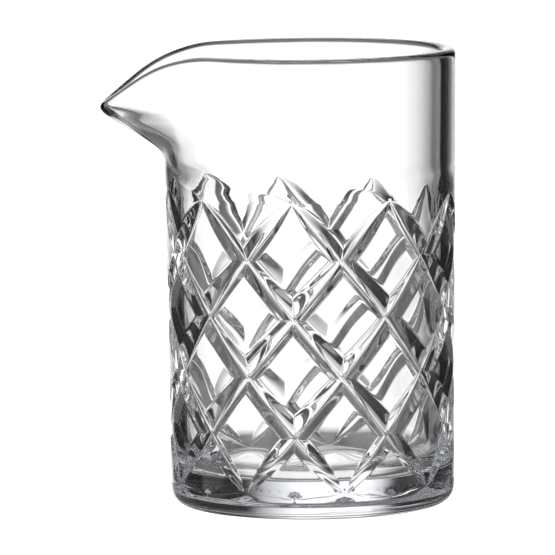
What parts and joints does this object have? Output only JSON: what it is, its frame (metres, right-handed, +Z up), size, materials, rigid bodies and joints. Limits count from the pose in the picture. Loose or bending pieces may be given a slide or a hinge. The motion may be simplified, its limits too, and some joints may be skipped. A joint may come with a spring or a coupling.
{
  "type": "mixing glass",
  "caption": "Straight-sided cocktail mixing glass of clear pressed glass, with a thick base, a beak-shaped pouring spout and a diamond lattice of V grooves around the lower body.",
  "frame": {"origin": "centre of the underside of the base, where the body axis meets the table", "axes": "+Z up along the body axis, the spout points to -X, and +Y is across the glass"},
  "size_m": [0.1155, 0.095, 0.148],
  "materials": {
    "clear_glass": "clear, fire-polished"
  },
  "bodies": {
    "root": {"glass_body": "clear_glass"}
  },
  "joints": []
}
